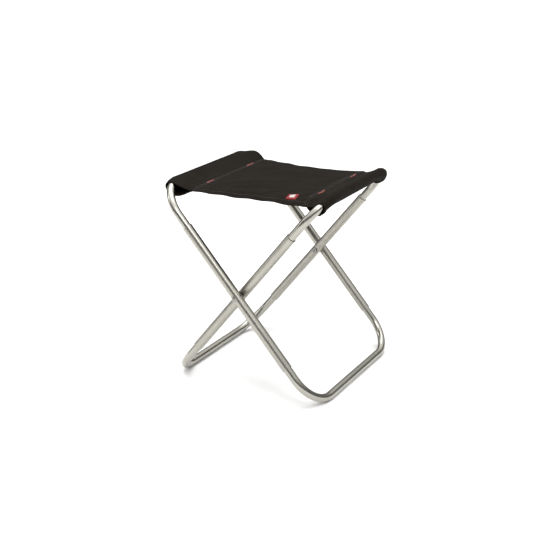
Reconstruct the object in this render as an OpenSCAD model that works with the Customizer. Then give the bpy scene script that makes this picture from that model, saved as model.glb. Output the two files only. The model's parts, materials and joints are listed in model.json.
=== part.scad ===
// Folding X-frame camp stool: two crossed rings of aluminium tube on two
// rivets, with a cloth seat whose tunnels turn on the top rails.
// Millimetres. Z up, floor at Z = 0, front at -Y. The outer ring has its
// top rail at -X, the inner ring has its top rail at +X.

/* [Frame] */
// angle of the legs above the floor, degrees
leg_angle = 50; // [40:60]
// pivot to the centre of a bottom rail, along the leg
lower_reach = 252; // [200:320]
// pivot to the centre of a top rail, along the leg
upper_reach = 254; // [200:320]
// outer ring width between the centres of its two legs
ring_width = 353.6; // [300:440]
// centreline radius of the four corners in each ring
bend_radius = 63.8; // [45:80]

/* [Tubes] */
// outside diameter of the thin U-bends
thin_diameter = 16; // [13:19]
// wall of the thin U-bends
thin_wall = 1.2; // [0.8:1.6]
// wall of the thick sleeve tubes
thick_wall = 1.1; // [0.8:1.6]
// length of each thick sleeve tube, centred on its pivot
thick_length = 327; // [260:360]
// length of thin tube pushed into a thick tube
insertion = 60; // [40:90]

/* [Pivot] */
// gap between the outer and the inner thick tubes
ring_gap = 2.2; // [1.6:5]
// diameter of the rivet shank
rivet_diameter = 6; // [4:8]
// diameter of the rivet head on the outside
rivet_head = 12; // [9:16]
// diameter of the hole up the end of the hollow rivet
rivet_hollow = 3; // [1.5:4]
// diameter of the plastic spacer between the tubes
spacer_diameter = 15; // [12:18]
// diameter of the washer inside the inner tubes
washer_diameter = 11; // [9:14]
// thickness of that washer where it touches the tube
washer_thickness = 1.2; // [0.8:2]

/* [Seat] */
// centre of an outer leg to the cloth's edge at the outer rail
edge_margin_outer = 30.8; // [24:50]
// centre of an inner leg to the cloth's edge at the inner rail
edge_margin_inner = 24.6; // [22:45]
// how far the cloth sits towards the front on the inner ring's rail
seat_shift_inner = 8; // [0:10]
// rail centre to seam, outer ring tunnel
tunnel_outer = 48; // [34:60]
// rail centre to seam, inner ring tunnel
tunnel_inner = 35; // [30:60]
// height of the outer seam below the rail's centre
drop_outer = 6; // [0:15]
// height of the inner seam below the rail's centre
drop_inner = 2; // [0:15]
// height of the seat's middle below the rails' centres
drop_middle = 8; // [2:25]
// thickness of the cloth
cloth = 1; // [0.6:1.5]
// width of the turned front and back hems
hem_width = 12; // [6:20]
// how far the hem round a tunnel's mouth reaches in along the tunnel
mouth_hem_width = 8.4; // [5:14]
// thickness of a turned hem under the panel
hem_thickness = 1.1; // [0.6:1.6]
// thickness of the hem round a tunnel's mouth
mouth_hem_thickness = 0.8; // [0.5:1.2]
// length of each bar tack
tack_length = 25; // [10:35]
// width of each bar tack, across the seam
tack_width = 3.5; // [2:5]
// cloth's edge to the middle of each bar tack, outer ring
tack_inset_outer = 69; // [30:90]
// the same for the inner ring
tack_inset_inner = 62; // [30:90]
// label width and depth, along and in from the front edge
label_size = [24, 14]; // [10:40]
// inner seam to the label's middle
label_inset = 40.5; // [20:80]
// front edge of the cloth to the label
label_margin = 12; // [3:40]

/* [Fits] */
// radial gap between a thin tube and the thick tube it slides into
sleeve_play = 0.4; // [0.2:1]
// radial gap between the rivet shank and the holes it runs in
pivot_clearance = 0.05; // [0.03:0.1]
// radial gap between a thin tube's swelled end and the thick tube's bore
sleeve_clearance = 0.05; // [0.02:0.15]
// gap between pieces that turn past each other at the pivot
turning_gap = 0.35; // [0.3:0.6]
// gap between the cloth tunnel and its rail
tunnel_clearance = 0.5; // [0.3:2]
// gap between pieces of one ring that only rest together
seat_gap = 0.02; // [0.01:0.1]

/* [Hidden] */
$fn = 48;
thin_r = thin_diameter / 2;
thin_bore = thin_r - thin_wall;
thick_bore = thin_r + sleeve_play;
thick_r = thick_bore + thick_wall;
half_thick = thick_length / 2;
tilt = 90 - leg_angle;
pivot_z = lower_reach * sin(leg_angle) + thin_r;
outer_y = ring_width / 2;
inner_y = outer_y - 2 * thick_r - ring_gap;
rail_x = upper_reach * cos(leg_angle);
rail_z = pivot_z + upper_reach * sin(leg_angle);
rivet_r = rivet_diameter / 2;
spacer_r = spacer_diameter / 2;
collar_r = thick_bore - sleeve_clearance;
collar_length = 14;
inner_face = inner_y - thick_r;
washer_y = inner_face - washer_thickness;
wrap_r = thin_r + tunnel_clearance + cloth / 2;
half_gap = 0.8;
half_o = outer_y - edge_margin_outer;
half_i = inner_y - edge_margin_inner;
seat_x = rail_x + thin_r + 2;
plan_x = seat_x + 5;
tack_offset = 4;
thread_rows = [1.5, 6.5];
thread_size = [0.8, 0.4];
dome_r = 11.2;
dome_height = 2.6;
rolled_end = 1.4;
hollow_depth = 7;
overshoot = 1;

// ---- frame helpers --------------------------------------------------------

// a leg's own frame: Z runs up the leg from the pivot
module outer_frame() { translate([0, 0, pivot_z]) rotate([0, -tilt, 0]) children(); }
module inner_frame() { translate([0, 0, pivot_z]) rotate([0, tilt, 0]) children(); }

// solid U: two legs from z0 up, two corners and a rail at height reach
module u_rod(r, half, reach, z0) {
  straight = reach - bend_radius - z0;
  rail = 2 * (half - bend_radius);
  for (s = [-1, 1]) {
    translate([0, s * half, z0]) cylinder(r = r, h = straight);
    translate([0, s * (half - bend_radius), reach - bend_radius])
      rotate([0, -90, 0]) rotate([0, 0, s > 0 ? 0 : -90])
        rotate_extrude(angle = 90) translate([bend_radius, 0]) circle(r = r);
  }
  translate([0, -rail / 2, reach]) rotate([-90, 0, 0]) cylinder(r = r, h = rail);
}

// thin tube bent into a U, with swelled ends that seat in the thick tubes
module u_bend(half, reach) {
  z0 = half_thick - insertion;
  difference() {
    union() {
      u_rod(thin_r, half, reach, z0);
      for (s = [-1, 1]) translate([0, s * half, z0]) {
        cylinder(r = collar_r, h = collar_length - 2);
        translate([0, 0, collar_length - 2])
          cylinder(r1 = collar_r, r2 = thin_r, h = 2);
      }
    }
    u_rod(thin_bore, half, reach, z0);
  }
}

// thick tube on one side of a ring, drilled for the rivet
module side_tube(y, hole_r) {
  translate([0, y, 0]) difference() {
    translate([0, 0, -half_thick]) cylinder(r = thick_r, h = thick_length);
    translate([0, 0, -half_thick - overshoot])
      cylinder(r = thick_bore, h = thick_length + 2 * overshoot);
    rotate([90, 0, 0]) translate([0, 0, -thick_r - overshoot])
      cylinder(r = hole_r, h = 2 * (thick_r + overshoot));
  }
}

// ---- seat helpers ---------------------------------------------------------

function depth(side) = side < 0 ? tunnel_outer : tunnel_inner;
function drop(side) = side < 0 ? drop_outer : drop_inner;
function lerp2(a, b, t) = a + (b - a) * t;
function bez(a, b, c, d, t) =
  a * pow(1 - t, 3) + 3 * b * t * pow(1 - t, 2) + 3 * c * t * t * (1 - t) + d * pow(t, 3);

// middle line of the cloth in [distance inboard of the rail, height over it]:
// panel from the seat's middle to the seam, then over and under the rail
function panel_drop(side, t) =
  let (u = (t - depth(side)) / (rail_x - half_gap - depth(side)))
    drop(side) + (drop_middle - drop(side)) * (1 - pow(1 - u, 2));
function panel_line(side, o, start = 0) = [for (i = [10:-1:0])
  let (d = depth(side) + start, t = d + (rail_x - half_gap - d) * i / 10)
    [t, o - panel_drop(side, t)]];
function seam_angle(side, r) = atan2(-drop(side), depth(side))
  + acos(r / norm([depth(side), drop(side)]));
function wrap_line(side, r) = let (a0 = seam_angle(side, r))
  [for (i = [0:20]) let (a = a0 + (270 - leg_angle - a0) * i / 20) r * [cos(a), sin(a)]];
// the under layer runs down beside the ring's corner, past the tube's far side
// at the tunnel's mouth, then back up to the seam
function under_line(side, r, o) =
  let (dir = [cos(leg_angle), -sin(leg_angle)],
       start = r * [cos(270 - leg_angle), sin(270 - leg_angle)],
       a = start + (corner_foot(side) - thin_r) * dir,
       b = start + (corner_foot(side) + thin_r * 1.2 + o) * dir,
       c = [depth(side) - 3 + o, b[1] + 1],
       d = [depth(side) - 0.6, -drop(side) - cloth - o])
    [for (i = [0:14]) bez(a, b, c, d, i / 14)];
// how far down the leg the inside of a ring's corner is at the tunnel's mouth
function corner_foot(side) =
  let (edge = side < 0 ? half_o : half_i + seat_shift_inner,
       run = max(0, edge - (side < 0 ? outer_y : inner_y) + bend_radius))
    bend_radius - sqrt(pow(bend_radius - thin_r, 2) - pow(run, 2));

// cross-section of the panel at a height offset, as a strip
module panel_strip(side, low, high, start = 0) {
  top = panel_line(side, high, start);
  bot = panel_line(side, low, start);
  polygon(concat(top, [for (i = [len(bot) - 1:-1:0]) bot[i]]));
}

// cross-section of the tunnel between two distances from its middle line
module tunnel_strip(side, inn, out) {
  a = concat([[depth(side), -drop(side) + out]], wrap_line(side, wrap_r + out),
    under_line(side, wrap_r + out, out));
  b = concat([[depth(side), -drop(side) + inn]], wrap_line(side, wrap_r + inn),
    under_line(side, wrap_r + inn, inn));
  polygon(concat(a, [for (i = [len(b) - 1:-1:0]) b[i]]));
}

// puts a section on the outer (-1) or inner (+1) ring's rail, run along Y
module on_rail(side) {
  translate([side * rail_x, 0, rail_z]) mirror([side > 0 ? 1 : 0, 0, 0])
    rotate([90, 0, 0]) linear_extrude(height = 2 * outer_y, center = true) children();
}

// plan of the whole seat, less a margin at its front and back edges
function along(x) = (x + seat_x) / (2 * seat_x);
function edge_y(x, s) = s * lerp2(half_o, half_i, along(x)) - seat_shift_inner * along(x);
module plan(margin) {
  x = plan_x;
  translate([0, 0, rail_z - 75]) linear_extrude(height = 110) polygon([
    [-x, edge_y(-x, -1) + margin], [x, edge_y(x, -1) + margin],
    [x, edge_y(x, 1) - margin], [-x, edge_y(-x, 1) - margin]]);
}

// two strips of the plan, one along the front edge and one along the back
module plan_edges(width) {
  x = plan_x;
  for (s = [-1, 1]) translate([0, 0, rail_z - 75]) linear_extrude(height = 110) polygon([
    [-x, edge_y(-x, s)], [x, edge_y(x, s)],
    [x, edge_y(x, s) - s * width], [-x, edge_y(-x, s) - s * width]]);
}

module half_cloth(side) {
  intersection() {
    on_rail(side) union() {
      panel_strip(side, -cloth / 2, cloth / 2);
      tunnel_strip(side, -cloth / 2, cloth / 2);
    }
    plan(0);
  }
}

// turned hem under the panel's front and back edges
module half_hems(side) {
  intersection() {
    on_rail(side)
      panel_strip(side, -cloth / 2 - seat_gap - hem_thickness, -cloth / 2 - seat_gap, 3);
    plan_edges(hem_width);
  }
}

// turned hem round each mouth of the tunnel
module mouth_hems(side) {
  intersection() {
    on_rail(side)
      tunnel_strip(side, cloth / 2 + seat_gap, cloth / 2 + seat_gap + mouth_hem_thickness);
    plan_edges(mouth_hem_width);
  }
}

// two rows of thread along the seam
module seam_threads(side) {
  intersection() {
    for (t = thread_rows)
      translate([side * (rail_x - depth(side) - t), 0, rail_z - drop(side) + cloth / 2 + seat_gap])
        translate([-thread_size[0] / 2, -outer_y, 0])
          cube([thread_size[0], 2 * outer_y, thread_size[1]]);
    plan(3);
  }
}

// bar tacks across the seam near its ends
module bar_tacks(side, y) {
  for (s = [-1, 1])
    translate([side * (rail_x - depth(side) - tack_offset), s * y - (side > 0 ? seat_shift_inner : 0),
      rail_z - drop(side) + cloth / 2 + thread_size[1] + 0.1])
      translate([-tack_width / 2, -tack_length / 2, 0]) cube([tack_width, tack_length, 0.7]);
}

// ---- sub-parts ------------------------------------------------------------

module outer_top_bend() {
  color([0.72, 0.71, 0.68]) outer_frame() u_bend(outer_y, upper_reach);
}

module outer_bottom_bend() {
  color([0.72, 0.71, 0.68]) outer_frame() mirror([0, 0, 1]) u_bend(outer_y, lower_reach);
}

module outer_front_tube() {
  color([0.68, 0.66, 0.62]) outer_frame() side_tube(-outer_y, rivet_r + pivot_clearance);
}

module outer_back_tube() {
  color([0.68, 0.66, 0.62]) outer_frame() side_tube(outer_y, rivet_r + pivot_clearance);
}

module inner_top_bend() {
  color([0.72, 0.71, 0.68]) inner_frame() u_bend(inner_y, upper_reach);
}

module inner_bottom_bend() {
  color([0.72, 0.71, 0.68]) inner_frame() mirror([0, 0, 1]) u_bend(inner_y, lower_reach);
}

module inner_front_tube() {
  color([0.68, 0.66, 0.62]) inner_frame() side_tube(-inner_y, rivet_r + pivot_clearance);
}

module inner_back_tube() {
  color([0.68, 0.66, 0.62]) inner_frame() side_tube(inner_y, rivet_r + pivot_clearance);
}

// domed head outside, plain shank, hollow end rolled over inside
module rivet() {
  tip = washer_y - turning_gap;
  difference() {
    union() {
      rotate([-90, 0, 0]) translate([0, 0, tip - 0.4])
        cylinder(r = rivet_r, h = outer_y + thick_r - tip + overshoot);
      rotate([-90, 0, 0]) translate([0, 0, tip - rolled_end])
        cylinder(r1 = rivet_r + 1, r2 = rivet_r + 1.8, h = rolled_end);
      difference() {
        intersection() {
          translate([0, outer_y + thick_r + dome_height - dome_r, 0]) sphere(r = dome_r);
          translate([0, outer_y, 0]) rotate([-90, 0, 0])
            cylinder(r = rivet_head / 2, h = thick_r + dome_r);
        }
        translate([0, outer_y, -20]) cylinder(r = thick_r + seat_gap, h = 40);
      }
    }
    rotate([-90, 0, 0]) translate([0, 0, tip - rolled_end - overshoot])
      cylinder(r = rivet_hollow / 2, h = hollow_depth + rolled_end + overshoot);
  }
}

module pivot_rivets() {
  color([0.62, 0.62, 0.6]) outer_frame() for (s = [0, 1]) mirror([0, s, 0]) rivet();
}

// spacer saddled on the outer tube, flat towards the inner tube
module pivot_spacers() {
  color([0.07, 0.07, 0.07]) outer_frame() for (s = [0, 1]) mirror([0, s, 0]) difference() {
    rotate([-90, 0, 0]) translate([0, 0, inner_y + thick_r + turning_gap])
      cylinder(r = spacer_r, h = ring_gap + 3);
    translate([0, outer_y, -20]) cylinder(r = thick_r + seat_gap, h = 40);
    rotate([-90, 0, 0]) translate([0, 0, inner_y]) cylinder(r = rivet_r + pivot_clearance, h = 40);
  }
}

// washer saddled on the inner tube, flat under the rivet's rolled end
module pivot_washers() {
  color([0.07, 0.07, 0.07]) inner_frame() for (s = [0, 1]) mirror([0, s, 0]) difference() {
    rotate([-90, 0, 0]) translate([0, 0, washer_y]) cylinder(r = washer_diameter / 2, h = 4);
    translate([0, inner_y, -20]) cylinder(r = thick_r + seat_gap, h = 40);
    rotate([-90, 0, 0]) translate([0, 0, washer_y - overshoot])
      cylinder(r = rivet_r + pivot_clearance, h = 20);
  }
}

module outer_seat_cloth() {
  color([0.16, 0.15, 0.14]) half_cloth(-1);
}

module outer_seat_hems() {
  color([0.14, 0.13, 0.12]) half_hems(-1);
}

module outer_mouth_hems() {
  color([0.14, 0.13, 0.12]) mouth_hems(-1);
}

module outer_seam_threads() {
  color([0.1, 0.1, 0.1]) seam_threads(-1);
}

module outer_bar_tacks() {
  color([0.78, 0.2, 0.17]) bar_tacks(-1, half_o - tack_inset_outer);
}

module inner_seat_cloth() {
  color([0.16, 0.15, 0.14]) half_cloth(1);
}

module inner_seat_hems() {
  color([0.14, 0.13, 0.12]) half_hems(1);
}

module inner_mouth_hems() {
  color([0.14, 0.13, 0.12]) mouth_hems(1);
}

module inner_seam_threads() {
  color([0.1, 0.1, 0.1]) seam_threads(1);
}

module inner_bar_tacks() {
  color([0.78, 0.2, 0.17]) bar_tacks(1, half_i - tack_inset_inner);
}

label_t = tunnel_inner + label_inset;
label_x = rail_x - label_t;
label_y = edge_y(label_x, -1) + label_size[1] / 2 + label_margin;
label_z = rail_z - panel_drop(1, label_t - label_size[0] / 2) + cloth / 2 + seat_gap;

module seat_label() {
  color([0.75, 0.1, 0.1]) translate([label_x, label_y, label_z])
    translate([-label_size[0] / 2, -label_size[1] / 2, 0]) cube([label_size[0], label_size[1], 0.7]);
}

module label_block() {
  color([0.92, 0.9, 0.87]) translate([label_x, label_y, label_z + 0.72])
    translate([-label_size[0] * 0.31, -label_size[1] * 0.24, 0])
      cube([label_size[0] * 0.62, label_size[1] * 0.48, 0.3]);
}

outer_top_bend();
outer_bottom_bend();
outer_front_tube();
outer_back_tube();
inner_top_bend();
inner_bottom_bend();
inner_front_tube();
inner_back_tube();
pivot_rivets();
pivot_spacers();
pivot_washers();
outer_seat_cloth();
outer_seat_hems();
outer_mouth_hems();
outer_seam_threads();
outer_bar_tacks();
inner_seat_cloth();
inner_seat_hems();
inner_mouth_hems();
inner_seam_threads();
inner_bar_tacks();
seat_label();
label_block();
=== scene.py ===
import json
import math
import random

import bmesh
import bpy
import numpy as np
from mathutils import Matrix, Vector


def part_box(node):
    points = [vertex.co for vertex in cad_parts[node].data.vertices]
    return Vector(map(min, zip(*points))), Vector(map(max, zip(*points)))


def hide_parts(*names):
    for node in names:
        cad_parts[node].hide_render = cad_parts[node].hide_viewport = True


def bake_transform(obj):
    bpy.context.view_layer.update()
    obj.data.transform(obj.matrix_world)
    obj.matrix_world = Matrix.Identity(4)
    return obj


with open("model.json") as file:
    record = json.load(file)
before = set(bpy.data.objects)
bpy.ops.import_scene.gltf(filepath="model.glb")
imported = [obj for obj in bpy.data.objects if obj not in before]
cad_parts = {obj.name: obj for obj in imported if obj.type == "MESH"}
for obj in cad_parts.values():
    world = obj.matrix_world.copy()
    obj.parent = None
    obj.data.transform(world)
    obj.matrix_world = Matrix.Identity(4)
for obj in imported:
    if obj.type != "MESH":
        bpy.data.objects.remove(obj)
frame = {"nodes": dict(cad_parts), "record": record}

random.seed(7)
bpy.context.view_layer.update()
MM = 0.001
JOINTS = {j["name"]: j for j in frame["record"]["behaviour"]["joints"]}
RAIL_X = JOINTS["inner_seat_turn"]["pos_m"][0] * 1000
RAIL_Z = JOINTS["inner_seat_turn"]["pos_m"][2] * 1000
PIVOT_Z = JOINTS["fold"]["pos_m"][2] * 1000
LEG = math.atan2(RAIL_Z - PIVOT_Z, RAIL_X)

THICK = 0.45                          # half the cloth's thickness
BEND_R = 63.8                         # centreline radius of the rings' corners
BEND_TURN = 0.86                      # how much of a corner the tunnel can follow, over its radius
ROW_IN = 1.1                          # seam to the near side of its first row of thread
TACK = 25.0                           # length of a bar tack
TACK_SHIFT = 2.5                      # the tacks lie this much nearer the rail than the frame's
HALF_WIDTH = {-1: 146.0, 1: 131.0}    # half the cloth's width at each end of the seat
SHIFT = 8.0                           # how far forward the cloth sits at the inner ring's end
WAIST, WAIST_REACH = 6.5, 124.0       # how far the free edges pull in, and out to which x
EDGE = 0.992                          # where the hems are folded, over the half width
SEAM_DROP = {-1: 6.0, 1: 0.5}         # each seam below its rail's centre
MIDDLE_DROP = 4.5                     # the seat's middle below the rails' centres
SLACK = 4.5                           # how far the loops hang under the straight of the rail
AIR, MOUTH_AIR = 0.6, 0.3             # cloth's middle off the tube, and how much more at a mouth


def box_mm(node):
    lo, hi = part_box(node)
    return [c * 1000 for c in lo], [c * 1000 for c in hi]


def side_facts(name):
    """What one half seat needs to know of its ring, from the frame."""
    lo, hi = box_mm(name + "_back_tube")
    ring = (lo[1] + hi[1]) / 2
    lo, hi = box_mm(name + "_seam_threads")
    depth = RAIL_X - max(abs(lo[0]), abs(hi[0])) - ROW_IN
    lo, hi = box_mm(name + "_bar_tacks")
    tacks = (lo[1] + TACK / 2, hi[1] - TACK / 2)
    at = RAIL_X - abs(lo[0] + hi[0]) / 2 - TACK_SHIFT
    return dict(name=name, depth=depth, ring=ring, tacks=tacks, tack_at=at)


THIN_R = box_mm("outer_top_bend")[1][2] - RAIL_Z
SEAT_X = RAIL_X + THIN_R + 2          # end of the cloth's plan, outboard of the rails
SIDES = {-1: side_facts("outer"), 1: side_facts("inner")}
# how far the loop stands off the tube at its front and back mouths: outboard, below, above the
# tube, and above the straight line between the tube and the seam
LOOSE = {  # (side, end): end is -1 at the front and 1 at the back
    (-1, -1): (4.0, 5.0, 0.0, 0.0),
    (-1, 1): (4.0, 5.0, 0.0, 9.0),
    (1, -1): (3.0, 0.0, 0.0, -2.0),
    (1, 1): (3.5, 7.0, 0.5, -7.0),
}
# how far the front and back edges droop at each x
CURL_X = (-115, -75, 0, 62, 103, 128)
CURL = {-1: (4.0, 7.0, 9.5, 10.3, 13.5, 14.0), 1: (2.8, 4.7, 7.7, 9.3, 12.7, 11.5)}

# ---------------------------------------------------------------- materials


def nodes_of(name):
    m = bpy.data.materials.new(name)
    m.use_nodes = True
    t = m.node_tree
    t.nodes.clear()
    out = t.nodes.new("ShaderNodeOutputMaterial")
    b = t.nodes.new("ShaderNodeBsdfPrincipled")
    t.links.new(b.outputs[0], out.inputs["Surface"])
    return m, t, b


def add(t, kind, **sets):
    n = t.nodes.new("ShaderNode" + kind)
    for k, v in sets.items():
        setattr(n, k, v)
    return n


def coords(t, scale, rotation=(0, 0, 0)):
    """Object coordinates in millimetres, scaled and turned."""
    m = add(t, "Mapping")
    m.inputs["Rotation"].default_value = rotation
    c = add(t, "TexCoord")
    t.links.new(c.outputs["Object"], m.inputs["Vector"])
    m.inputs["Scale"].default_value = [s * 1000 for s in scale]
    return m.outputs[0]


def noise(t, vec, scale, detail=3.0, rough=0.5):
    n = add(t, "TexNoise")
    n.inputs["Scale"].default_value = scale
    n.inputs["Detail"].default_value = detail
    n.inputs["Roughness"].default_value = rough
    t.links.new(vec, n.inputs["Vector"])
    return n.outputs["Fac"]


def ramp(t, fac, stops):
    r = add(t, "ValToRGB")
    e = r.color_ramp.elements
    while len(e) < len(stops):
        e.new(0.5)
    for el, (p, c) in zip(e, stops):
        el.position = p
        el.color = (*c, 1) if len(c) == 3 else c
    t.links.new(fac, r.inputs[0])
    return r.outputs[0]


def span(t, fac, lo, hi, a=0.0, b=1.0):
    """Maps a...b onto lo...hi."""
    r = add(t, "MapRange")
    for k, v in (("From Min", a), ("From Max", b), ("To Min", lo), ("To Max", hi)):
        r.inputs[k].default_value = v
    t.links.new(fac, r.inputs["Value"])
    return r.outputs["Result"]


def math_node(t, op, a, b=None):
    n = add(t, "Math", operation=op)
    for i, v in enumerate((a, b)):
        if v is None:
            continue
        if isinstance(v, (int, float)):
            n.inputs[i].default_value = v
        else:
            t.links.new(v, n.inputs[i])
    return n.outputs[0]


def mix(t, fac, a, b):
    n = add(t, "Mix", data_type="RGBA", blend_type="MIX")
    for sock, v in ((n.inputs["Factor"], fac), (n.inputs[6], a), (n.inputs[7], b)):
        if isinstance(v, (int, float)):
            sock.default_value = v
        elif isinstance(v, (tuple, list)):
            sock.default_value = (*v, 1)
        else:
            t.links.new(v, sock)
    return n.outputs[2]


def bump(t, b, height, distance, strength=1.0, under=None):
    n = add(t, "Bump")
    n.inputs["Strength"].default_value = strength
    n.inputs["Distance"].default_value = distance
    t.links.new(height, n.inputs["Height"])
    if under is not None:
        t.links.new(under, n.inputs["Normal"])
    t.links.new(n.outputs[0], b.inputs["Normal"])
    return n.outputs[0]


def aluminium(name, base, rough, tilt, streak, scratch):
    """Anodised tube. tilt turns the draw lines along the leg; streak is how strong they are."""
    m, t, b = nodes_of(name)
    along = coords(t, (1.6, 1.6, 0.035), rotation=(0, tilt, 0))
    lines = noise(t, along, 1.0, 2.0)
    blotch = noise(t, coords(t, (0.016, 0.016, 0.016)), 1.0, 3.0)
    fine = noise(t, coords(t, (0.22, 0.22, 0.22)), 1.0, 4.0, 0.6)
    dark = tuple(c * 0.93 for c in base)
    light = tuple(min(1, c * 1.04) for c in base)
    colour = ramp(t, blotch, [(0.3, dark), (0.7, light)])
    colour = mix(t, span(t, lines, 0.0, streak, 0.35, 0.7), colour, tuple(c * 0.8 for c in base))
    # sparse handling scratches run across the draw lines
    scr = add(t, "TexWave", wave_type="BANDS", bands_direction="Y", wave_profile="SAW")
    scr.inputs["Scale"].default_value = 0.021
    scr.inputs["Distortion"].default_value = 26
    scr.inputs["Detail"].default_value = 2
    t.links.new(coords(t, (1, 1, 1)), scr.inputs["Vector"])
    thin = span(t, scr.outputs["Fac"], 0, 1, 0.985, 1.0)
    scratched = math_node(t, "MULTIPLY", thin, scratch)
    colour = mix(t, scratched, colour, tuple(min(1, c * 1.25) for c in base))
    t.links.new(colour, b.inputs["Base Color"])
    b.inputs["Metallic"].default_value = 1.0
    r = math_node(t, "ADD", span(t, fine, rough - 0.05, rough + 0.06, 0.3, 0.7),
                  math_node(t, "MULTIPLY", thin, 0.12))
    t.links.new(r, b.inputs["Roughness"])
    h = math_node(t, "ADD", math_node(t, "MULTIPLY", lines, 0.6), math_node(t, "MULTIPLY", thin, -0.5))
    bump(t, b, h, 0.000015, 0.35)
    return m


def rivet_metal():
    m, t, b = nodes_of("rivet_metal")
    n = noise(t, coords(t, (0.5, 0.5, 0.5)), 1.0, 4)
    colour = ramp(t, n, [(0.3, (0.26, 0.255, 0.235)), (0.7, (0.36, 0.352, 0.32))])
    t.links.new(colour, b.inputs["Base Color"])
    b.inputs["Metallic"].default_value = 1.0
    t.links.new(span(t, n, 0.34, 0.5), b.inputs["Roughness"])
    bump(t, b, n, 0.00005, 0.4)
    return m


def nylon():
    m, t, b = nodes_of("black_nylon")
    n = noise(t, coords(t, (0.9, 0.9, 0.9)), 1.0, 5)
    colour = ramp(t, n, [(0.3, (0.010, 0.010, 0.011)), (0.75, (0.028, 0.027, 0.027))])
    t.links.new(colour, b.inputs["Base Color"])
    t.links.new(span(t, n, 0.42, 0.6), b.inputs["Roughness"])
    bump(t, b, n, 0.00006, 0.5)
    return m


def weave(name, dark, light, pitch, depth, sheen, rough=0.8, fleck=0.35, gloss=0.04):
    """Plain weave in cloth coordinates: u runs across the seat, v along the rails."""
    m, t, b = nodes_of(name)
    uv = add(t, "Attribute", attribute_name="cloth_uv").outputs["Vector"]
    warp_n = noise(t, uv, 0.18, 2)
    sep = add(t, "SeparateXYZ")
    t.links.new(uv, sep.inputs[0])
    wob = math_node(t, "MULTIPLY", math_node(t, "SUBTRACT", warp_n, 0.5), pitch * 0.5)
    u = math_node(t, "MULTIPLY", math_node(t, "ADD", sep.outputs[0], wob), math.pi / pitch)
    v = math_node(t, "MULTIPLY", math_node(t, "ADD", sep.outputs[1], wob), math.pi / pitch)
    su, sv = math_node(t, "SINE", u), math_node(t, "SINE", v)
    au = math_node(t, "ABSOLUTE", su)
    av = math_node(t, "ABSOLUTE", sv)
    over = math_node(t, "GREATER_THAN", math_node(t, "MULTIPLY", su, sv), 0.0)

    def yarn_arch(across, length):
        """A yarn's round back, which dives under its neighbours at each crossing."""
        dive = math_node(t, "ADD", math_node(t, "MULTIPLY", length, 0.6), 0.4)
        return math_node(t, "MULTIPLY", math_node(t, "POWER", across, 0.5), dive)

    warp, weft = yarn_arch(au, av), yarn_arch(av, au)
    hgt = add(t, "Mix", data_type="FLOAT")
    t.links.new(over, hgt.inputs["Factor"])
    t.links.new(weft, hgt.inputs[2])
    t.links.new(warp, hgt.inputs[3])
    height = hgt.outputs[0]
    # yarn colour differs a little from thread to thread, and fades in soft patches
    yarn = add(t, "Mapping")
    yarn.inputs["Scale"].default_value = (1.4, 0.03, 1)
    t.links.new(uv, yarn.inputs["Vector"])
    yarn_n = noise(t, yarn.outputs[0], 1.0, 3, 0.7)
    patch = noise(t, uv, 0.022, 4, 0.55)
    col = ramp(t, yarn_n, [(0.25, dark), (0.75, light)])
    col = mix(t, span(t, patch, 0.0, 0.5, 0.35, 0.75), col, tuple(min(1, c * 1.45) for c in light))
    # painted shade: the colour darkens where the yarns dip low between crossings, following the same height
    # as the bump
    col = mix(t, math_node(t, "MULTIPLY", math_node(t, "SUBTRACT", 1.0, height), 0.55), col,
              tuple(c * 0.35 for c in dark))
    flecks = span(t, noise(t, uv, 1.9, 2, 0.6), 0, 1, 0.62, 0.8)
    col = mix(t, math_node(t, "MULTIPLY", flecks, fleck), col, tuple(min(1, c * 2.0) for c in light))
    t.links.new(col, b.inputs["Base Color"])
    t.links.new(span(t, patch, rough - 0.06, rough + 0.08), b.inputs["Roughness"])
    b.inputs["Sheen Weight"].default_value = sheen
    b.inputs["Sheen Roughness"].default_value = 0.45
    b.inputs["Specular IOR Level"].default_value = gloss
    first = bump(t, b, height, depth, 0.8)
    bump(t, b, noise(t, uv, 0.09, 4, 0.6), 0.0006, 0.35, under=first)
    return m


def satin_thread(name, dark, light):
    """Twisted thread: fine diagonal ply lines across each stitch, as bumps, with painted shade darkening
    the grooves between the plies.
    """
    m, t, b = nodes_of(name)
    w = add(t, "TexWave", wave_type="BANDS", bands_direction="DIAGONAL")
    w.inputs["Scale"].default_value = 0.55
    w.inputs["Distortion"].default_value = 1.5
    t.links.new(coords(t, (1, 1, 1)), w.inputs["Vector"])
    n = noise(t, coords(t, (0.25, 0.25, 0.25)), 1.0, 3)
    # painted shade: the colour follows the ply bands, darker in their grooves than on their crests
    col = mix(t, n, ramp(t, w.outputs["Fac"], [(0.2, dark), (0.8, light)]), light)
    t.links.new(col, b.inputs["Base Color"])
    t.links.new(span(t, n, 0.4, 0.6), b.inputs["Roughness"])
    b.inputs["Sheen Weight"].default_value = 0.3
    bump(t, b, w.outputs["Fac"], 0.00012, 0.7)
    return m


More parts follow.
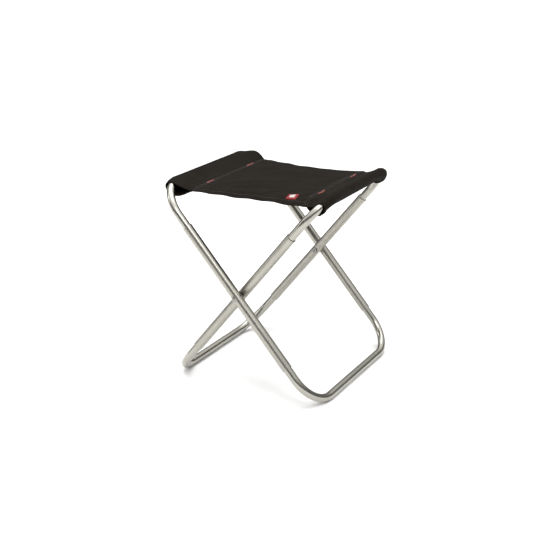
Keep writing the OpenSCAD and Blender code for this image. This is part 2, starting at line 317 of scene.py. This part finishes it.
CLOTH_DARK, CLOTH_LIGHT = (0.0088, 0.0071, 0.0055), (0.0170, 0.0139, 0.0108)
HEM_DARK = tuple(c * 0.8 for c in CLOTH_DARK)
HEM_LIGHT = tuple(c * 0.85 for c in CLOTH_LIGHT)
TAG_DARK, TAG_LIGHT = (0.20, 0.010, 0.014), (0.31, 0.022, 0.028)
BLOCK_DARK, BLOCK_LIGHT = (0.50, 0.45, 0.43), (0.66, 0.60, 0.58)
CLOTH_PITCH, TAG_PITCH = 0.62, 0.32   # yarn to yarn
MAT = {
    "cloth": weave("seat_weave", CLOTH_DARK, CLOTH_LIGHT, CLOTH_PITCH, depth=0.00022, sheen=0.012),
    "hem": weave("hem_weave", HEM_DARK, HEM_LIGHT, CLOTH_PITCH, depth=0.0002, sheen=0.015),
    "thread": satin_thread("dark_thread", (0.010, 0.009, 0.008), (0.03, 0.027, 0.025)),
    "tack": satin_thread("red_thread", (0.15, 0.014, 0.011), (0.30, 0.045, 0.032)),
    "label": weave("label_weave", TAG_DARK, TAG_LIGHT, TAG_PITCH,
                   depth=0.0001, sheen=0.2, rough=0.55, fleck=0.1),
    "block": weave("label_light_weave", BLOCK_DARK, BLOCK_LIGHT, TAG_PITCH,
                   depth=0.0001, sheen=0.2, rough=0.6, fleck=0.05),
    "nylon": nylon(),
    "rivet": rivet_metal(),
}
METALS = {  # colour, roughness, strength of the draw lines
    "sleeve": ((0.40, 0.386, 0.343), 0.30, 0.5),
    "bend": ((0.41, 0.398, 0.356), 0.21, 0.2),
}
for key, (base, rough, streak) in METALS.items():
    for ring, tilt in (("outer", math.radians(40)), ("inner", -math.radians(40))):
        MAT[key + "_" + ring] = aluminium(f"{ring}_{key}_aluminium", base, rough, tilt, streak, scratch=0.5)


def paint(obj, material):
    obj.data.materials.clear()
    obj.data.materials.append(material)


for node, obj in frame["nodes"].items():
    ring = node.split("_")[0]
    if node.endswith("_bend"):
        paint(obj, MAT["bend_" + ring])
    elif node.endswith("_front_tube") or node.endswith("_back_tube"):
        paint(obj, MAT["sleeve_" + ring])
    elif node == "pivot_rivets":
        paint(obj, MAT["rivet"])
    elif node in ("pivot_spacers", "pivot_washers"):
        paint(obj, MAT["nylon"])
    else:
        continue
    bevel = obj.modifiers.new("edge", "BEVEL")
    bevel.width = 0.00022 if "tube" in node or "bend" in node else 0.0003
    bevel.segments = 2
    bevel.limit_method = "ANGLE"
    bevel.angle_limit = math.radians(50)
    bevel.harden_normals = False

# -------------------------------------------------------------------- cloth


def smooth(a, b, x):
    """Soft step from 0 at a to 1 at b."""
    t = min(1.0, max(0.0, (x - a) / (b - a)))
    return t * t * (3 - 2 * t)


def along(x):
    """0 at the outer end of the seat, 1 at the inner end."""
    return (x + SEAT_X) / (2 * SEAT_X)


def half_width(x):
    """Half the cloth's width at x. The free edges pull in between the tunnels."""
    a = min(1, max(0, along(x)))
    w = HALF_WIDTH[-1] + (HALF_WIDTH[1] - HALF_WIDTH[-1]) * a
    pull = max(0.0, 1 - (x / WAIST_REACH) ** 2)
    return w - WAIST * pull ** 0.8


def centre_y(x):
    """The line halfway between the cloth's front and back edges."""
    return -SHIFT * min(1, max(0, along(x)))


# start, pull point and end of each soft fold in plan, its height and its half width
FOLDS = (
    ((-98, -92), (-30, -22), (104, 12), 2.3, 15),
    ((-86, -128), (-30, -82), (60, -66), -2.1, 10),
    ((16, -132), (28, -96), (96, -68), 1.5, 6),
    ((44, -70), (90, -66), (124, -74), -1.2, 8),
    ((118, -52), (122, -10), (130, 40), 1.3, 8),
    ((-103, -46), (-105, 0), (-102, 44), -0.9, 5),
    ((-104, 66), (-20, 66), (110, 34), 1.5, 14),
    ((-60, 30), (20, 22), (90, 34), -1.1, 12),
    ((-96, 92), (-20, 104), (84, 92), -1.0, 9),
    ((88, -116), (104, -98), (120, -82), 1.4, 5),
    ((100, -122), (112, -104), (124, -92), -1.0, 4),
    ((-110, -96), (-70, -104), (-30, -118), 1.0, 7),
)


def fold_table():
    """Each fold as points along its curve, with the height fading in and out at its ends."""
    t = np.linspace(0, 1, 33)[:, None]
    rows = []
    for a, b, c, h, w in FOLDS:
        pts = (1 - t) ** 2 * np.array(a) + 2 * t * (1 - t) * np.array(b) + t ** 2 * np.array(c)
        fade = FOLD_HEIGHT * h * np.clip(np.sin(np.pi * t[:, 0]), 0, 1) ** 0.6
        rows.append((pts, fade, w))
    return rows


FOLD_HEIGHT = 1.6     # all the folds together, over the heights listed
FOLD_ROWS = fold_table()


def folds(x, y):
    """How far the folds lift the cloth at one place."""
    h = 0.0
    for pts, fade, w in FOLD_ROWS:
        d2 = (pts[:, 0] - x) ** 2 + (pts[:, 1] - y) ** 2
        i = int(np.argmin(d2))
        if d2[i] < 9 * w * w:
            h += float(fade[i]) * math.exp(-d2[i] / (w * w))
    return h


def edge_run(x, y):
    """Distance in from the nearer free edge."""
    return half_width(x) - abs(y - centre_y(x))


def corner(side, y):
    """The tube's section at this y: its centre as (inboard, up), and how slantwise it is cut."""
    run = max(0.0, abs(y) - (SIDES[side]["ring"] - BEND_R))
    run = min(run, BEND_R * BEND_TURN)
    level = math.sqrt(BEND_R ** 2 - run ** 2)
    down = BEND_R - level
    return down * math.cos(LEG), -down * math.sin(LEG), BEND_R / level


def panel_z(side, t, y):
    """Height of the cloth's middle surface over the rail's centre, inboard of the seam."""
    s = SIDES[side]
    depth, drop = s["depth"], SEAM_DROP[side]
    u = (t - depth) / (RAIL_X - depth)
    z = -(drop + (MIDDLE_DROP - drop) * (1 - (1 - u) ** 2))
    x = side * (RAIL_X - t)
    # the free edges droop and ripple
    run = edge_run(x, y)
    curl = float(np.interp(x, CURL_X, CURL[-1 if y < centre_y(x) else 1]))
    near_edge = 1 - smooth(-6, 30, run)
    z -= curl * near_edge ** 1.3
    z += near_edge * smooth(0, 0.2, u) * (0.8 * math.sin(x / 8.3 + 1.2) + 0.6 * math.sin(x / 17.0))
    # the middle hollows a little, and the folds start at the seam
    z -= 1.3 * smooth(0.0, 0.6, u) * math.exp(-((y - centre_y(x)) / 70) ** 2)
    z += folds(x, y) * smooth(0.0, 0.12, u)
    # puckers along the seam, and a dimple round each tack
    near = math.exp(-(t - depth) / 9.0)
    z += 0.35 * near * math.sin(y * 2 * math.pi / 17.0 + side)
    for ty in s["tacks"]:
        r2 = (t - s["tack_at"]) ** 2 / 60 + (y - ty) ** 2 / 260
        z -= 0.7 * math.exp(-r2)
    return z


# points on the panel, the tunnel's top layer, the turn round the tube and the under layer
N_PANEL, N_TOP, N_WRAP, N_UNDER = 44, 14, 26, 18


def section(side, y):
    """The cloth's middle line at one y, from the seat's middle to the end of the under layer.
    Gives (inboard, up) points from the rail's centre."""
    depth = SIDES[side]["depth"]
    ct, cz, slant = corner(side, y)
    mouth = smooth(24, 0, edge_run(side * RAIL_X, y))
    loose = smooth(46, 6, edge_run(side * RAIL_X, y))
    out, below, above, mid = (q * loose for q in LOOSE[(side, -1 if y < 0 else 1)])
    gap = AIR + MOUTH_AIR * mouth
    along_r, across_r = THIN_R * slant + gap, THIN_R + gap
    # e1 runs down the ring's slope, and e2 square to it, upwards
    e1 = (math.cos(LEG), -math.sin(LEG))
    e2 = (math.sin(LEG), math.cos(LEG))

    def on_tube(a):
        c, q = along_r * math.cos(a), across_r * math.sin(a)
        return ct + c * e1[0] + q * e2[0], cz + c * e1[1] + q * e2[1]

    def tangents(p):
        """Where the two lines from p touch the cloth's path round the tube, as angles."""
        dx, dz = p[0] - ct, p[1] - cz
        u, v = (dx * e1[0] + dz * e1[1]) / along_r, (dx * e2[0] + dz * e2[1]) / across_r
        mid, half = math.atan2(v, u), math.acos(1 / math.hypot(u, v))
        return mid + half, mid - half + 2 * math.pi

    pts = []
    for i in range(N_PANEL):
        t = RAIL_X + (depth - RAIL_X) * i / N_PANEL
        pts.append((t, panel_z(side, t, y)))
    seam = (depth, panel_z(side, depth, y))
    low = (depth - 0.4, seam[1] - 2.2 * THICK - 0.3)
    a0, a1 = tangents(seam)[0], tangents(low)[1]
    start, stop = on_tube(a0), on_tube(a1)
    for i in range(N_TOP):
        k = i / N_TOP
        bow = math.sin(math.pi * k)
        dip = bow * (0.7 + 0.6 * math.sin(y / 19 + side * 2) - mid) - above * smooth(0, 1, k)
        pts.append((seam[0] + (start[0] - seam[0]) * k, seam[1] + (start[1] - seam[1]) * k - dip))
    # the loop is cut to clear the corners, so it hangs slack under the straight of the rail
    slack = SLACK * (1 - smooth(70, 150, abs(y - centre_y(side * RAIL_X)))) + below
    for i in range(N_WRAP):
        k = i / N_WRAP
        x, z = on_tube(a0 + (a1 - a0) * k)
        away = out * math.sin(math.pi * k) ** 0.9
        pts.append((x - away, z + above * (1 - smooth(0, 0.6, k)) - slack * smooth(0.4, 1.0, k)))
    for i in range(N_UNDER + 1):
        k = i / N_UNDER
        sag = slack * (1 - smooth(0, 1, k)) + (1.6 + slack * 0.35) * math.sin(math.pi * k ** 0.8)
        sag += 0.5 * math.sin(y / 13 + side) * math.sin(math.pi * k)
        pts.append((stop[0] + (low[0] - stop[0]) * k, stop[1] + (low[1] - stop[1]) * k - sag))
    return pts


def row(side, v):
    """One line of the cloth at v from -1 (front) to 1 (back), as places in the frame."""
    x_rail = side * RAIL_X
    y = centre_y(x_rail) + v * half_width(x_rail)
    out = []
    for t, z in section(side, y):
        x = side * (RAIL_X - t)
        xx = x if abs(x) < RAIL_X else math.copysign(RAIL_X, x)
        yy = centre_y(xx) + v * half_width(xx)
        if t > SIDES[side]["depth"]:
            z = panel_z(side, t, yy)
        out.append((x, yy, RAIL_Z + z))
    return out


def set_uv(me, uv):
    """Keeps the cloth's own coordinates, which the weave follows."""
    a = me.attributes.new("cloth_uv", "FLOAT_VECTOR", "POINT")
    flat = np.zeros((len(me.vertices), 3), np.float32)
    flat[:, :2] = uv
    a.data.foreach_set("vector", flat.ravel())


def new_object(name, verts, faces, material, uv):
    me = bpy.data.meshes.new(name)
    me.from_pydata([tuple(c * MM for c in p) for p in verts], [], faces)
    me.update()
    me.shade_smooth()
    set_uv(me, uv)
    ob = bpy.data.objects.new(name, me)
    bpy.context.scene.collection.objects.link(ob)
    me.materials.append(material)
    return ob


def shell(name, grid, half, material):
    """Closed thin sheet from a grid of middle-surface points."""
    g = np.array(grid, float)
    du = np.gradient(g, axis=1)
    dv = np.gradient(g, axis=0)
    nrm = np.cross(du, dv)
    nrm /= np.linalg.norm(nrm, axis=2, keepdims=True) + 1e-12
    rows, cols = g.shape[:2]
    if nrm[rows // 2, 4, 2] < 0:
        nrm = -nrm
    step = np.linalg.norm(np.diff(g, axis=1), axis=2)
    arc = np.concatenate([np.zeros((rows, 1)), np.cumsum(step, axis=1)], axis=1)
    top, bot = g + nrm * half, g - nrm * half
    verts = np.concatenate([top.reshape(-1, 3), bot.reshape(-1, 3)])
    uv = np.stack([arc.ravel(), g[:, :, 1].ravel()], axis=1)
    uv = np.concatenate([uv, uv])
    faces, n = [], rows * cols
    at = lambda i, j: i * cols + j
    for i in range(rows - 1):
        for j in range(cols - 1):
            a, b, c, d = at(i, j), at(i, j + 1), at(i + 1, j + 1), at(i + 1, j)
            faces.append((a, b, c, d))
            faces.append((a + n, d + n, c + n, b + n))
    rim = [at(0, j) for j in range(cols)]
    rim += [at(i, cols - 1) for i in range(1, rows)]
    rim += [at(rows - 1, j) for j in range(cols - 2, -1, -1)]
    rim += [at(i, 0) for i in range(rows - 2, 0, -1)]
    for a, b in zip(rim, rim[1:] + rim[:1]):
        faces.append((a, a + n, b + n, b))
    ob = new_object(name, verts, faces, material, uv)
    orient(ob)
    return ob


def orient(ob):
    """Turns the faces outwards, and keeps the cut edges crisp."""
    bm = bmesh.new()
    bm.from_mesh(ob.data)
    bmesh.ops.recalc_face_normals(bm, faces=bm.faces)
    bm.to_mesh(ob.data)
    bm.free()
    ob.data.shade_smooth()
    ob.data.set_sharp_from_angle(angle=math.radians(60))


def loft(name, frames, outline, material):
    """Closed bar: outline [(e, n), ...] carried along frames of (point, E, N)."""
    verts, uv, faces = [], [], []
    k, run = len(outline), 0.0
    prev = None
    for p, E, N in frames:
        p, E, N = Vector(p), Vector(E), Vector(N)
        if prev is not None:
            run += (p - prev).length
        prev = p
        acc = 0.0
        for i, (e, n) in enumerate(outline):
            verts.append(p + E * e + N * n)
            if i:
                acc += math.hypot(e - outline[i - 1][0], n - outline[i - 1][1])
            uv.append((run, acc))
    m = len(frames)
    for i in range(m - 1):
        for j in range(k):
            a, b = i * k + j, i * k + (j + 1) % k
            faces.append((a, b, b + k, a + k))
    faces.append(tuple(range(k - 1, -1, -1)))
    faces.append(tuple((m - 1) * k + j for j in range(k)))
    ob = new_object(name, verts, faces, material, uv)
    orient(ob)
    return ob


def join(name, parts, material):
    """Merges closed lumps, given as (verts, faces), into one object."""
    verts, faces = [], []
    for v, f in parts:
        o = len(verts)
        verts.extend(v)
        faces.extend(tuple(i + o for i in q) for q in f)
    return new_object(name, verts, faces, material, [(p[0], p[1]) for p in verts])


def stitch(p, d, n, length, width, height):
    """One thread lying on the cloth: a rounded grain whose ends dive into it."""
    p, d, n = Vector(p), Vector(d).normalized(), Vector(n).normalized()
    s = d.cross(n).normalized()
    verts, faces = [], []
    rings, seg = 6, 8
    for i in range(rings + 1):
        u = -1 + 2 * i / rings
        fat = math.sqrt(max(0.0, 1 - (u * 0.97) ** 2)) ** 0.6
        lift = -height * 0.75 * u ** 4
        c = p + d * (u * length / 2) + n * (height * 0.35 + lift)
        for j in range(seg):
            a = 2 * math.pi * j / seg
            verts.append(c + s * (math.cos(a) * width / 2 * fat) + n * (math.sin(a) * height / 2 * fat))
    for i in range(rings):
        for j in range(seg):
            a, b = i * seg + j, i * seg + (j + 1) % seg
            faces.append((a, a + seg, b + seg, b))
    faces.append(tuple(range(seg)))
    faces.append(tuple(rings * seg + j for j in range(seg - 1, -1, -1)))
    return verts, faces


def top_z(side, t, y):
    """Height of the top surface, on the panel or on the tunnel's top layer."""
    if t >= SIDES[side]["depth"]:
        return RAIL_Z + panel_z(side, t, y) + THICK
    pts = section(side, y)[N_PANEL:N_PANEL + N_TOP + 1]
    for (t1, z1), (t0, z0) in zip(pts, pts[1:]):
        if t0 <= t <= t1:
            return RAIL_Z + z0 + (z1 - z0) * (t - t0) / (t1 - t0 + 1e-9) + THICK
    return RAIL_Z + pts[-1][1] + THICK


def on_top(side, t, y):
    """A place on the top surface, with the normal and the directions along x and y there."""
    x = side * (RAIL_X - t)
    h = 1.0
    z = top_z(side, t, y)
    zx = (top_z(side, t + h, y) - top_z(side, t - h, y)) / (2 * h) * -side
    zy = (top_z(side, t, y + h) - top_z(side, t, y - h)) / (2 * h)
    n = Vector((-zx, -zy, 1)).normalized()
    return Vector((x, y, z)), n, Vector((1, 0, zx)).normalized(), Vector((0, 1, zy)).normalized()


def stitch_line(side, points, width=0.62, height=0.5, pitch=3.4, fill=0.74):
    """Stitches along (t, y) points on the top surface."""
    out = []
    pts = [on_top(side, t, y) for t, y in points]
    pos = [p[0] for p in pts]
    dist = [0.0]
    for a, b in zip(pos, pos[1:]):
        dist.append(dist[-1] + (b - a).length)
    total, s, i = dist[-1], pitch * 0.5, 0
    while s < total:
        while dist[i + 1] < s:
            i += 1
        k = (s - dist[i]) / (dist[i + 1] - dist[i])
        p = pos[i].lerp(pos[i + 1], k)
        n = pts[i][1].lerp(pts[i + 1][1], k)
        out.append(stitch(p, pos[i + 1] - pos[i], n, pitch * fill, width, height))
        s += pitch * random.uniform(0.96, 1.04)
    return out


# cross-sections of the hems, in mm: past the edge, and above the line the hem follows
HEM = [(-12, -0.50), (-12, -1.32), (-6, -1.42), (-0.6, -1.45), (0.25, -1.2), (0.8, -0.65), (0.9, -0.1),
       (0.62, 0.35), (0.0, 0.6), (-0.9, 0.64), (-1.9, 0.5), (-1.9, -0.4)]
MOUTH = [(-8.5, 0.50), (-8.3, 1.05), (-4, 1.2), (-0.6, 1.2), (0.2, 0.95), (0.65, 0.45), (0.7, -0.1),
         (0.4, -0.55), (-0.3, -0.75), (-1.4, -0.6), (-1.6, -0.35), (-1.6, 0.4)]
N_ROWS, CROWD = 67, 0.86              # lines from front to back, closer together towards the edges
SEAM_ROWS = (1.0, 7.0)                # the seam's two rows of stitches, inboard of it
SEAM_END, HEM_ROW = 4.0, 10.0         # seam stitches stop, and a hem's stitches run, this far in
TACK_STITCHES, TACK_LEAN = 30, 0.16


def cloth_rows():
    """Where the cloth's lines run, from -1 at the front to 1 at the back."""
    steps = [-1 + 2 * i / (N_ROWS - 1) for i in range(N_ROWS)]
    return [math.copysign(abs(u) ** CROWD, u) if u else 0.0 for u in steps]


def panel_hem(side, end):
    """Frames along the panel's front or back edge, from the seat's middle to just short of the seam."""
    frames, n = [], 70
    for i in range(n + 1):
        t = RAIL_X + (SIDES[side]["depth"] + 0.5 - RAIL_X) * i / n
        x = side * (RAIL_X - t)
        y = centre_y(x) + end * half_width(x) * EDGE
        p, nrm, _, ty = on_top(side, t, y)
        frames.append((p - nrm * THICK, ty * end, nrm))
    return frames


def mouth_hem(side, end):
    """Frames round one mouth of the tunnel, on the outside of the loop."""
    line = row(side, end * EDGE)[N_PANEL:]
    frames = []
    for i, p in enumerate(line):
        d = Vector(line[min(len(line) - 1, i + 1)]) - Vector(line[max(0, i - 1)])
        d.y = 0
        d.normalize()
        frames.append((p, (0, end, 0), Vector((-d.z, 0, d.x)) * side))
    # the first frames are on the top layer, so their outward side is up
    if frames[3][2].z < 0:
        frames = [(p, E, -N) for p, E, N in frames]
    return frames


def seat_stitches(side):
    """Two rows along the seam and one along each hem."""
    depth = SIDES[side]["depth"]
    rows = []
    for t in (depth + r for r in SEAM_ROWS):
        x = side * (RAIL_X - t)
        lo, hi = centre_y(x) - half_width(x) + SEAM_END, centre_y(x) + half_width(x) - SEAM_END
        rows += stitch_line(side, [(t, lo + (hi - lo) * i / 90) for i in range(91)])
    for end in (-1, 1):
        pts = []
        for i in range(71):
            t = RAIL_X - 1 + (depth + 9 - RAIL_X) * i / 70
            x = side * (RAIL_X - t)
            pts.append((t, centre_y(x) + end * (half_width(x) - HEM_ROW)))
        rows += stitch_line(side, pts)
    return rows


def tack_stitches(side):
    """Bar tacks: dense stitches across the seam, leaning to and fro."""
    out = []
    for middle in SIDES[side]["tacks"]:
        for i in range(TACK_STITCHES):
            y = middle + TACK * ((i + 0.5) / TACK_STITCHES - 0.5)
            p, nrm, tx, ty = on_top(side, SIDES[side]["tack_at"], y)
            lean = tx * math.cos(TACK_LEAN) + ty * math.sin(TACK_LEAN if i % 2 else -TACK_LEAN)
            out.append(stitch(p + nrm * 0.15, lean, nrm, 3.4 + random.uniform(-0.2, 0.2), 0.98, 0.95))
    return out


made, sheet_length = {}, {}
for side, s in SIDES.items():
    name = s["name"]
    grid = [row(side, v * EDGE) for v in cloth_rows()]
    made[name + "_cloth"] = shell(f"{name}_half_seat_fabric", grid, THICK, MAT["cloth"])
    steps = np.linalg.norm(np.diff(np.array(grid), axis=1), axis=2)
    sheet_length[side] = float(steps.sum(axis=1).max())
    for end, place in ((-1, "front"), (1, "back")):
        for kind, frames, outline in (("hem", panel_hem(side, end), HEM),
                                      ("mouth_hem", mouth_hem(side, end), MOUTH)):
            key = f"{name}_{place}_{kind}"
            made[key] = loft(key, frames, outline, MAT["hem"])
    made[name + "_stitching"] = join(f"{name}_seat_stitching", seat_stitches(side), MAT["thread"])
    made[name + "_tacks"] = join(f"{name}_bar_tack_stitches", tack_stitches(side), MAT["tack"])

# the woven tag by the inner half's front edge, with a plain block
TAG_LO, TAG_HI = box_mm("seat_label")
TAG_X = (TAG_LO[0] + TAG_HI[0]) / 2
TAG_T = RAIL_X - TAG_X
TAG_Y = centre_y(TAG_X) - half_width(TAG_X) + 20.0
TAG_W, TAG_D = 20.5, 14.5
TAG_THREAD = 0.85                     # the stitches' height off the cloth


def tag(name, w, d, y_mid, off, thick, material, crown):
    """A small rectangle on the inner half; its inside stands `crown` higher than its rim."""
    nx, ny = 19, 11
    grid = []
    for j in range(ny):
        line = []
        for i in range(nx):
            t = TAG_T - w / 2 + w * i / (nx - 1)
            y = y_mid - d / 2 + d * j / (ny - 1)
            p, nrm, _, _ = on_top(1, t, y)
            rim = i in (0, nx - 1) or j in (0, ny - 1)
            line.append(tuple(p + nrm * (off + (0.0 if rim else crown))))
        grid.append(line)
    return shell(name, grid, thick, material)


def tag_stitches():
    """Stitches round the tag, a little inside its rim."""
    u, v = TAG_W / 2 - 1.2, TAG_D / 2 - 1.0
    out = []
    for y in (TAG_Y - v, TAG_Y + v):
        for i in range(12):
            p, nrm, tx, _ = on_top(1, TAG_T - u + 2 * u * i / 11, y)
            out.append(stitch(p + nrm * TAG_THREAD, tx, nrm, 1.5, 0.45, 0.4))
    for t in (TAG_T - u, TAG_T + u):
        for i in range(6):
            p, nrm, _, ty = on_top(1, t, TAG_Y + v * (-0.8 + 1.6 * i / 5))
            out.append(stitch(p + nrm * TAG_THREAD, ty, nrm, 1.4, 0.45, 0.4))
    return out


made["tag"] = tag("seat_tag", TAG_W, TAG_D, TAG_Y, 0.5, 0.3, MAT["label"], 0.12)
made["tag_block"] = tag("seat_tag_block", TAG_W * 0.54, TAG_D * 0.5, TAG_Y + 0.3,
                        1.2, 0.12, MAT["block"], 0.1)
made["tag_stitches"] = join("seat_tag_stitches", tag_stitches(), MAT["tack"])

# every cloth piece, grouped by its half seat and so by the rail it hangs from
GROUP = {
    -1: [k for k in made if k.startswith("outer")],
    1: [k for k in made if k.startswith("inner")] + ["tag", "tag_block", "tag_stitches"],
}
for side, keys in GROUP.items():
    s = SIDES[side]
    for k in keys:
        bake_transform(made[k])
    n = s["name"]
    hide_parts(n + "_seat_cloth")
    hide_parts(n + "_seat_hems")
    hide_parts(n + "_mouth_hems")
    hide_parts(n + "_seam_threads")
    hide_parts(n + "_bar_tacks")
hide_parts("seat_label")
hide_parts("label_block")

# -------------------------------------------------------------------- stage


def stage_material(name, colour, rough):
    m, t, b = nodes_of(name)
    n = noise(t, coords(t, (0.004, 0.004, 0.004)), 1.0, 3)
    c = ramp(t, n, [(0.3, tuple(x * 0.99 for x in colour)), (0.7, colour)])
    t.links.new(c, b.inputs["Base Color"])
    b.inputs["Roughness"].default_value = rough
    return m


me = bpy.data.meshes.new("floor")
R = 40.0                              # half its side in metres
me.from_pydata([(-R, -R, 0), (R, -R, 0), (R, R, 0), (-R, R, 0)], [], [(0, 1, 2, 3)])
floor = bpy.data.objects.new("floor", me)
bpy.context.scene.collection.objects.link(floor)
me.materials.append(stage_material("pale_floor", (0.97, 0.97, 0.97), 0.9))


def studio_world():
    """A soft room: bright overhead, dimmer round the sides, so the bare metal has something to show."""
    world = bpy.data.worlds.new("studio")
    bpy.context.scene.world = world
    world.use_nodes = True
    t = world.node_tree
    bg = t.nodes["Background"]
    c = add(t, "TexCoord")
    sep = add(t, "SeparateXYZ")
    t.links.new(c.outputs["Generated"], sep.inputs[0])
    up = ramp(t, span(t, sep.outputs[2], 0.0, 1.0, -0.1, 1.0), [
        (0.0, (0.30, 0.30, 0.29)), (0.10, (0.10, 0.10, 0.095)), (0.42, (0.12, 0.12, 0.115)),
        (0.56, (0.50, 0.50, 0.49)), (0.72, (1.0, 1.0, 0.99)), (1.0, (1.0, 1.0, 1.0))])
    t.links.new(up, bg.inputs[0])
    bg.inputs[1].default_value = 1.46


studio_world()


def area(name, loc, target, size, power):
    li = bpy.data.lights.new(name, "AREA")
    li.shape = "RECTANGLE"
    li.size, li.size_y = size
    li.energy = power
    ob = bpy.data.objects.new(name, li)
    ob.location = loc
    ob.rotation_euler = (Vector(target) - Vector(loc)).to_track_quat("-Z", "Y").to_euler()
    bpy.context.scene.collection.objects.link(ob)


MIDDLE = (0, 0, 0.25)
area("key", (1.5, -1.7, 2.7), MIDDLE, size=(0.8, 1.2), power=24)
area("overhead", (-0.3, 0.2, 3.2), MIDDLE, size=(2.6, 2.6), power=60)
area("side", (-2.2, -1.0, 1.2), MIDDLE, size=(0.5, 1.6), power=8)

# ------------------------------------------------------------------- camera

cam = bpy.data.cameras.new("camera")
cam.sensor_fit = "HORIZONTAL"
cam.sensor_width = 36.0
cam.lens = 71.97
cam.clip_end = 90
bpy.context.scene.view_settings.view_transform = "Standard"
eye = bpy.data.objects.new("camera", cam)
# the photograph's viewpoint: the camera's right, up and back, and its place in metres
r = Vector((0.877267, 0.479746, -0.015707))
u = Vector((-0.144115, 0.29446, 0.944735))
back = Vector((0.457858, -0.826521, 0.327458))
eye.matrix_world = Matrix((
    (r.x, u.x, back.x, 0.99808),
    (r.y, u.y, back.y, -1.83089),
    (r.z, u.z, back.z, 0.91380),
    (0, 0, 0, 1)))
bpy.context.scene.collection.objects.link(eye)
bpy.context.scene.camera = eye
